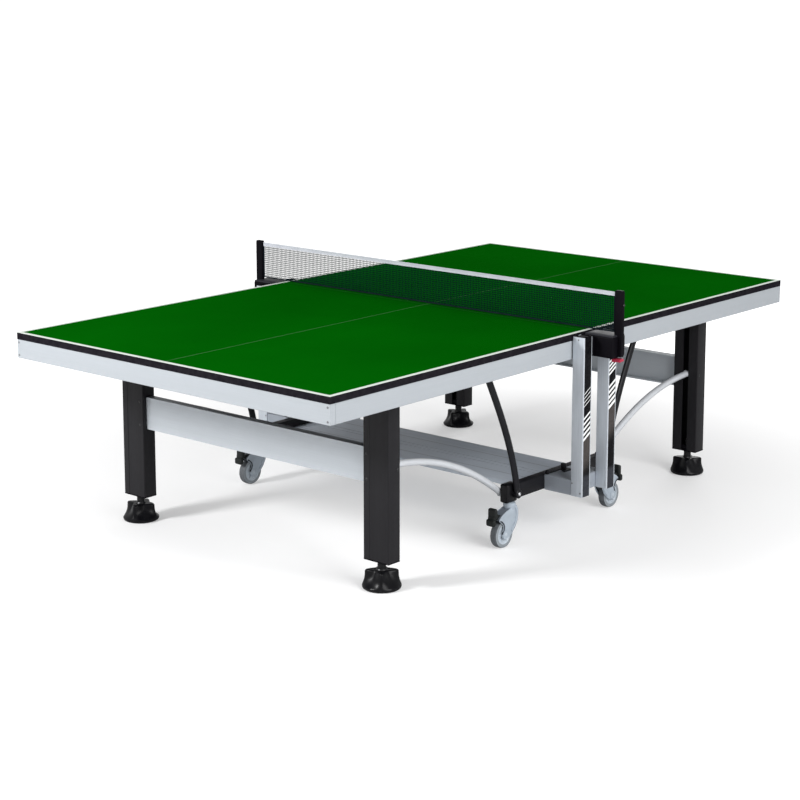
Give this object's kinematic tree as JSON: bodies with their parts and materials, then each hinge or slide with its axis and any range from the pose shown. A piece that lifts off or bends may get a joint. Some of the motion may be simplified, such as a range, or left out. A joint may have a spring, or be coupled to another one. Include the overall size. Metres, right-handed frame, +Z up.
{
  "type": "table tennis table",
  "caption": "Full-size folding table tennis table: green two-half playing top, net, channel legs with levelling feet, and a wheeled centre chassis with guide posts.",
  "frame": {"origin": "on the floor under the middle of the net, the centre of the bounding box's base", "axes": "+X along the table's length towards the right half, +Y across the table towards the far guide posts, +Z up"},
  "size_m": [2.74, 1.824, 0.919],
  "materials": {
    "green_board": "satin lacquer",
    "silver": "satin anodised",
    "black_metal": "satin powder coat",
    "grey": "satin anodised",
    "black_plastic": "satin",
    "net_mesh": "open mesh",
    "net_tape": "woven tape",
    "lever_red": "satin",
    "caster_grey": "satin",
    "tyre_grey": "matte",
    "leg_black": "satin black anodised",
    "foot_black": "satin",
    "link_silver": "polished"
  },
  "bodies": {
    "chassis": {"Bridge_Beam": "grey", "Side_Rail_Near": "black_metal", "Side_Rail_Far": "black_metal", "Side_Box_Near": "grey", "Side_Box_Far": "grey", "Guide_Post_Near_Left": "silver", "Guide_Post_Near_Right": "silver", "Guide_Post_Far_Left": "silver", "Guide_Post_Far_Right": "silver", "Net_Post_Near": "black_plastic", "Net_Post_Far": "black_plastic", "Net_Mesh": "net_mesh", "Net_Tape": "net_tape"},
    "sliders_left": {"Slider_Near_Left": "black_plastic", "Slider_Far_Left": "black_plastic"},
    "top_left": {"Board_Left": "green_board", "End_Apron_Left": "silver", "Side_Apron_Near_Left": "silver", "Side_Apron_Far_Left": "silver", "Under_Frame_Left": "black_metal"},
    "legs_left": {"Leg_Near_Left": "leg_black", "Leg_Far_Left": "leg_black", "Leg_Beam_Left": "silver"},
    "struts_left": {"Strut_Near_Left": "black_metal", "Strut_Far_Left": "black_metal"},
    "links_left": {"Link_Near_Left": "link_silver", "Link_Far_Left": "link_silver"},
    "sliders_right": {"Slider_Near_Right": "black_plastic", "Slider_Far_Right": "black_plastic"},
    "top_right": {"Board_Right": "green_board", "End_Apron_Right": "silver", "Side_Apron_Near_Right": "silver", "Side_Apron_Far_Right": "silver", "Under_Frame_Right": "black_metal"},
    "legs_right": {"Leg_Near_Right": "leg_black", "Leg_Far_Right": "leg_black", "Leg_Beam_Right": "silver"},
    "struts_right": {"Strut_Near_Right": "black_metal", "Strut_Far_Right": "black_metal"},
    "links_right": {"Link_Near_Right": "link_silver", "Link_Far_Right": "link_silver"},
    "lever_near": {"Release_Lever_Near": "lever_red"},
    "foot_near_left": {"Foot_Near_Left": "foot_black"},
    "caster_near_left": {"Caster_Fork_Near_Left": "caster_grey"},
    "wheel_near_left": {"Caster_Wheel_Near_Left": "tyre_grey"},
    "pedal_near_left": {"Brake_Pedal_Near_Left": "black_plastic"},
    "foot_near_right": {"Foot_Near_Right": "foot_black"},
    "caster_near_right": {"Caster_Fork_Near_Right": "caster_grey"},
    "wheel_near_right": {"Caster_Wheel_Near_Right": "tyre_grey"},
    "pedal_near_right": {"Brake_Pedal_Near_Right": "black_plastic"},
    "lever_far": {"Release_Lever_Far": "lever_red"},
    "foot_far_left": {"Foot_Far_Left": "foot_black"},
    "caster_far_left": {"Caster_Fork_Far_Left": "caster_grey"},
    "wheel_far_left": {"Caster_Wheel_Far_Left": "tyre_grey"},
    "pedal_far_left": {"Brake_Pedal_Far_Left": "black_plastic"},
    "foot_far_right": {"Foot_Far_Right": "foot_black"},
    "caster_far_right": {"Caster_Fork_Far_Right": "caster_grey"},
    "wheel_far_right": {"Caster_Wheel_Far_Right": "tyre_grey"},
    "pedal_far_right": {"Brake_Pedal_Far_Right": "black_plastic"}
  },
  "joints": [
    {"name": "guide_slide_left", "type": "slide", "parent": "chassis", "child": "sliders_left", "axis": [0, 0, 1], "range_m": [-0.4285, 0]},
    {"name": "fold_left", "type": "hinge", "parent": "sliders_left", "child": "top_left", "pos_m": [-0.0775, 0, 0.74], "axis": [0, 1, 0], "range_deg": [0, 90]},
    {"name": "leg_fold_left", "type": "hinge", "parent": "top_left", "child": "legs_left", "pos_m": [-0.89, 0, 0.7], "axis": [0, 1, 0], "range_deg": [-78.3, 0]},
    {"name": "strut_swing_left", "type": "hinge", "parent": "top_left", "child": "struts_left", "pos_m": [-0.483, 0, 0.7], "axis": [0, 1, 0], "range_deg": [-51.2, 0]},
    {"name": "link_swing_left", "type": "hinge", "parent": "legs_left", "child": "links_left", "pos_m": [-0.928, 0, 0.416], "axis": [0, 1, 0], "range_deg": [0, 65.3]},
    {"name": "guide_slide_right", "type": "slide", "parent": "chassis", "child": "sliders_right", "axis": [0, 0, 1], "range_m": [-0.4285, 0]},
    {"name": "fold_right", "type": "hinge", "parent": "sliders_right", "child": "top_right", "pos_m": [0.0775, 0, 0.74], "axis": [0, -1, 0], "range_deg": [0, 90]},
    {"name": "leg_fold_right", "type": "hinge", "parent": "top_right", "child": "legs_right", "pos_m": [0.89, 0, 0.7], "axis": [0, -1, 0], "range_deg": [-78.3, 0]},
    {"name": "strut_swing_right", "type": "hinge", "parent": "top_right", "child": "struts_right", "pos_m": [0.483, 0, 0.7], "axis": [0, -1, 0], "range_deg": [-51.2, 0]},
    {"name": "link_swing_right", "type": "hinge", "parent": "legs_right", "child": "links_right", "pos_m": [0.928, 0, 0.416], "axis": [0, -1, 0], "range_deg": [0, 65.3]},
    {"name": "lever_pull_near", "type": "hinge", "parent": "chassis", "child": "lever_near", "pos_m": [0, -0.878, 0.673], "axis": [1, 0, 0], "range_deg": [0, 20], "stiffness_Nm_per_rad": 0.3, "springref_deg": -5.73},
    {"name": "foot_level_near_left", "type": "slide", "parent": "legs_left", "child": "foot_near_left", "axis": [0, 0, -1], "range_m": [0, 0.012]},
    {"name": "swivel_near_left", "type": "hinge", "parent": "chassis", "child": "caster_near_left", "pos_m": [-0.29, -0.635, 0.15], "axis": [0, 0, 1], "continuous": true},
    {"name": "spin_near_left", "type": "hinge", "parent": "caster_near_left", "child": "wheel_near_left", "pos_m": [-0.335, -0.635, 0.05], "axis": [0, 1, 0], "continuous": true},
    {"name": "brake_near_left", "type": "hinge", "parent": "caster_near_left", "child": "pedal_near_left", "pos_m": [-0.386, -0.635, 0.122], "axis": [0, -1, 0], "range_deg": [0, 12]},
    {"name": "foot_level_near_right", "type": "slide", "parent": "legs_right", "child": "foot_near_right", "axis": [0, 0, -1], "range_m": [0, 0.012]},
    {"name": "swivel_near_right", "type": "hinge", "parent": "chassis", "child": "caster_near_right", "pos_m": [0.29, -0.635, 0.15], "axis": [0, 0, 1], "continuous": true},
    {"name": "spin_near_right", "type": "hinge", "parent": "caster_near_right", "child": "wheel_near_right", "pos_m": [0.335, -0.635, 0.05], "axis": [0, 1, 0], "continuous": true},
    {"name": "brake_near_right", "type": "hinge", "parent": "caster_near_right", "child": "pedal_near_right", "pos_m": [0.386, -0.635, 0.122], "axis": [0, 1, 0], "range_deg": [0, 12]},
    {"name": "lever_pull_far", "type": "hinge", "parent": "chassis", "child": "lever_far", "pos_m": [0, 0.878, 0.673], "axis": [-1, 0, 0], "range_deg": [0, 20], "stiffness_Nm_per_rad": 0.3, "springref_deg": -5.73},
    {"name": "foot_level_far_left", "type": "slide", "parent": "legs_left", "child": "foot_far_left", "axis": [0, 0, -1], "range_m": [0, 0.012]},
    {"name": "swivel_far_left", "type": "hinge", "parent": "chassis", "child": "caster_far_left", "pos_m": [-0.29, 0.635, 0.15], "axis": [0, 0, 1], "continuous": true},
    {"name": "spin_far_left", "type": "hinge", "parent": "caster_far_left", "child": "wheel_far_left", "pos_m": [-0.335, 0.635, 0.05], "axis": [0, 1, 0], "continuous": true},
    {"name": "brake_far_left", "type": "hinge", "parent": "caster_far_left", "child": "pedal_far_left", "pos_m": [-0.386, 0.635, 0.122], "axis": [0, -1, 0], "range_deg": [0, 12]},
    {"name": "foot_level_far_right", "type": "slide", "parent": "legs_right", "child": "foot_far_right", "axis": [0, 0, -1], "range_m": [0, 0.012]},
    {"name": "swivel_far_right", "type": "hinge", "parent": "chassis", "child": "caster_far_right", "pos_m": [0.29, 0.635, 0.15], "axis": [0, 0, 1], "continuous": true},
    {"name": "spin_far_right", "type": "hinge", "parent": "caster_far_right", "child": "wheel_far_right", "pos_m": [0.335, 0.635, 0.05], "axis": [0, 1, 0], "continuous": true},
    {"name": "brake_far_right", "type": "hinge", "parent": "caster_far_right", "child": "pedal_far_right", "pos_m": [0.386, 0.635, 0.122], "axis": [0, 1, 0], "range_deg": [0, 12]}
  ],
  "couplings": [
    {"joint": "guide_slide_left", "follows": "fold_left", "m_per_rad": -0.27273},
    {"joint": "leg_fold_left", "follows": "fold_left", "ratio": -0.8696},
    {"joint": "strut_swing_left", "follows": "fold_left", "ratio": -0.56858},
    {"joint": "link_swing_left", "follows": "fold_left", "ratio": 0.725},
    {"joint": "guide_slide_right", "follows": "fold_right", "m_per_rad": -0.27273},
    {"joint": "leg_fold_right", "follows": "fold_right", "ratio": -0.8696},
    {"joint": "strut_swing_right", "follows": "fold_right", "ratio": -0.56858},
    {"joint": "link_swing_right", "follows": "fold_right", "ratio": 0.725}
  ]
}
